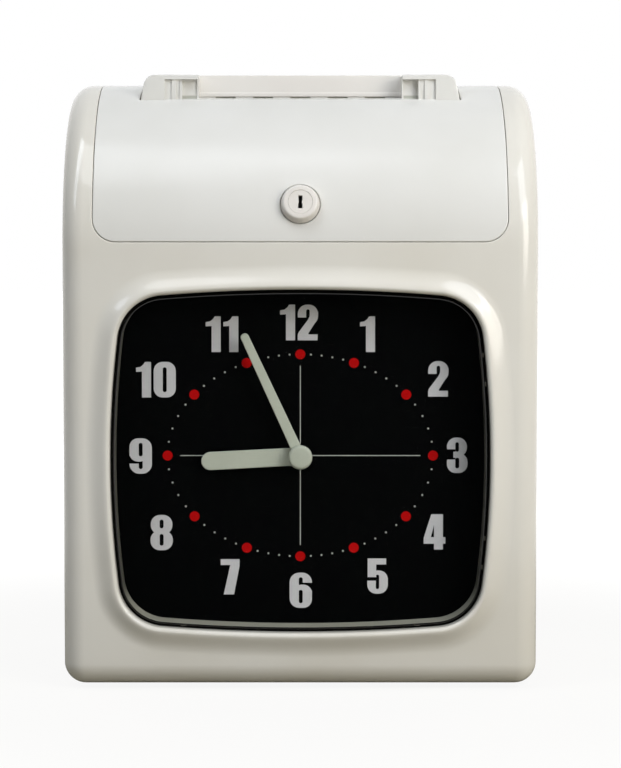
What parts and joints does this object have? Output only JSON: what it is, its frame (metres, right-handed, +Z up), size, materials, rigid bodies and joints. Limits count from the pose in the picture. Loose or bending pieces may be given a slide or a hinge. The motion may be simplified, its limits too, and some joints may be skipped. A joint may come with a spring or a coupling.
{
  "type": "time clock",
  "caption": "Desk or wall time clock: a rounded case with an analogue dial behind a framed window, a locked curved lid over the card printer, and a card throat on top.",
  "frame": {"origin": "on the surface that it stands on, under the middle of its box", "axes": "+Z up, +X to the right as seen from the front, the dial faces -Y"},
  "size_m": [0.197, 0.1305, 0.2578],
  "materials": {
    "ivory_plastic": "warm ivory moulded plastic, satin gloss",
    "clear_lens": "clear polished acrylic",
    "dial_black": "matt black with printed light grey numbers",
    "hand_paint": "aluminium painted grey green",
    "lock_metal": "satin nickel",
    "sheet_steel": "zinc plated sheet",
    "bright_steel": "bright turned steel",
    "motor_can": "grey plated can",
    "gear_brass": "cut brass",
    "black_plastic": "matt black moulding",
    "white_plastic": "natural white moulding",
    "black_rubber": "soft black rubber",
    "board_green": "glass fibre board with green mask",
    "ink_ribbon": "inked nylon",
    "blue_wrap": "shrink wrap"
  },
  "bodies": {
    "case": {"front_case": "ivory_plastic", "rear_case": "ivory_plastic", "rubber_feet": "black_rubber", "case_screws": "bright_steel", "window_lens": "clear_lens", "dial": "dial_black", "card_throat": "ivory_plastic", "chassis": "sheet_steel", "chassis_screws": "bright_steel", "chute_front": "sheet_steel", "chute_rear": "sheet_steel", "platen": "black_rubber", "carriage_rod": "bright_steel", "head_motor": "motor_can", "feed_motor": "motor_can", "ribbon_cartridge": "black_plastic", "ribbon_tape": "ink_ribbon", "card_sensor": "black_plastic", "main_board": "board_green", "board_chips": "black_plastic", "board_screws": "bright_steel", "transformer": "motor_can", "battery_pack": "blue_wrap", "buzzer": "black_plastic", "movement_plate": "sheet_steel", "movement_housing": "black_plastic", "movement_motor": "motor_can", "movement_screws": "bright_steel", "centre_nut": "dial_black", "key_panel": "ivory_plastic", "key_board": "board_green", "cord_gland": "black_rubber", "hinge_pins": "bright_steel"},
    "lid": {"top_lid": "ivory_plastic", "lock_collar": "lock_metal", "lock_nut": "bright_steel"},
    "lock": {"lock_plug": "lock_metal", "lock_cam": "bright_steel", "cam_screw": "bright_steel"},
    "minute": {"minute_arbor": "gear_brass", "minute_hand": "hand_paint", "hand_cap": "hand_paint"},
    "hour": {"hour_wheel": "gear_brass", "hour_hand": "hand_paint"},
    "reduction": {"minute_wheel": "gear_brass"},
    "clock_drive": {"drive_pinion": "gear_brass"},
    "carriage": {"print_carriage": "black_plastic", "print_head": "motor_can"},
    "screw": {"lead_screw": "bright_steel", "screw_gear": "white_plastic"},
    "head_drive": {"head_pinion": "gear_brass"},
    "feed": {"feed_shaft": "bright_steel", "feed_rollers": "black_rubber", "feed_gear": "white_plastic"},
    "feed_drive": {"feed_pinion": "gear_brass"},
    "pinch": {"pinch_rollers": "black_rubber"},
    "knob": {"ribbon_knob": "white_plastic"},
    "button_1": {"set_button_1": "white_plastic"},
    "button_2": {"set_button_2": "white_plastic"},
    "button_3": {"set_button_3": "white_plastic"}
  },
  "joints": [
    {"name": "lid_hinge", "type": "hinge", "parent": "case", "child": "lid", "pos_m": [0, 0.022, 0.2496], "axis": [-1, 0, 0], "range_deg": [0, 85]},
    {"name": "lock_turn", "type": "hinge", "parent": "lid", "child": "lock", "pos_m": [0, -0.05962, 0.20172], "axis": [0, 0.9659, -0.2588], "range_deg": [0, 90]},
    {"name": "minute_turn", "type": "hinge", "parent": "case", "child": "minute", "pos_m": [0, -0.046, 0.0966], "axis": [0, 1, 0], "continuous": true},
    {"name": "hour_turn", "type": "hinge", "parent": "case", "child": "hour", "pos_m": [0, -0.046, 0.0966], "axis": [0, 1, 0], "continuous": true},
    {"name": "reduction_turn", "type": "hinge", "parent": "case", "child": "reduction", "pos_m": [0, -0.036, 0.0774], "axis": [0, 1, 0], "continuous": true},
    {"name": "clock_drive_turn", "type": "hinge", "parent": "case", "child": "clock_drive", "pos_m": [0.0192, -0.036, 0.0774], "axis": [0, 1, 0], "continuous": true},
    {"name": "carriage_slide", "type": "slide", "parent": "case", "child": "carriage", "axis": [1, 0, 0], "range_m": [-0.033, 0.033]},
    {"name": "screw_turn", "type": "hinge", "parent": "case", "child": "screw", "pos_m": [0, -0.033, 0.174], "axis": [1, 0, 0], "range_deg": [-600, 600]},
    {"name": "head_drive_turn", "type": "hinge", "parent": "case", "child": "head_drive", "pos_m": [0.06, -0.033, 0.1596], "axis": [1, 0, 0], "range_deg": [-1200, 1200]},
    {"name": "feed_turn", "type": "hinge", "parent": "case", "child": "feed", "pos_m": [0, -0.0057, 0.218], "axis": [1, 0, 0], "continuous": true},
    {"name": "pinch_turn", "type": "hinge", "parent": "case", "child": "pinch", "pos_m": [0, -0.0203, 0.218], "axis": [1, 0, 0], "continuous": true},
    {"name": "feed_drive_turn", "type": "hinge", "parent": "case", "child": "feed_drive", "pos_m": [-0.06, -0.00054, 0.20456], "axis": [1, 0, 0], "continuous": true},
    {"name": "knob_turn", "type": "hinge", "parent": "case", "child": "knob", "pos_m": [0.035, -0.0335, 0.224], "axis": [0, 0, 1], "continuous": true},
    {"name": "button_1_press", "type": "slide", "parent": "case", "child": "button_1", "axis": [0, 1, 0], "range_m": [0, 0.0012], "stiffness_N_per_m": 300, "springref_m": -0.0005},
    {"name": "button_2_press", "type": "slide", "parent": "case", "child": "button_2", "axis": [0, 1, 0], "range_m": [0, 0.0012], "stiffness_N_per_m": 300, "springref_m": -0.0005},
    {"name": "button_3_press", "type": "slide", "parent": "case", "child": "button_3", "axis": [0, 1, 0], "range_m": [0, 0.0012], "stiffness_N_per_m": 300, "springref_m": -0.0005}
  ],
  "couplings": [
    {"joint": "hour_turn", "follows": "minute_turn", "ratio": 0.083333},
    {"joint": "reduction_turn", "follows": "minute_turn", "ratio": -0.33333},
    {"joint": "clock_drive_turn", "follows": "minute_turn", "ratio": 1},
    {"joint": "screw_turn", "follows": "carriage_slide", "rad_per_m": 314.16},
    {"joint": "head_drive_turn", "follows": "carriage_slide", "rad_per_m": -628.32},
    {"joint": "pinch_turn", "follows": "feed_turn", "ratio": -1.8},
    {"joint": "feed_drive_turn", "follows": "feed_turn", "ratio": -2}
  ]
}
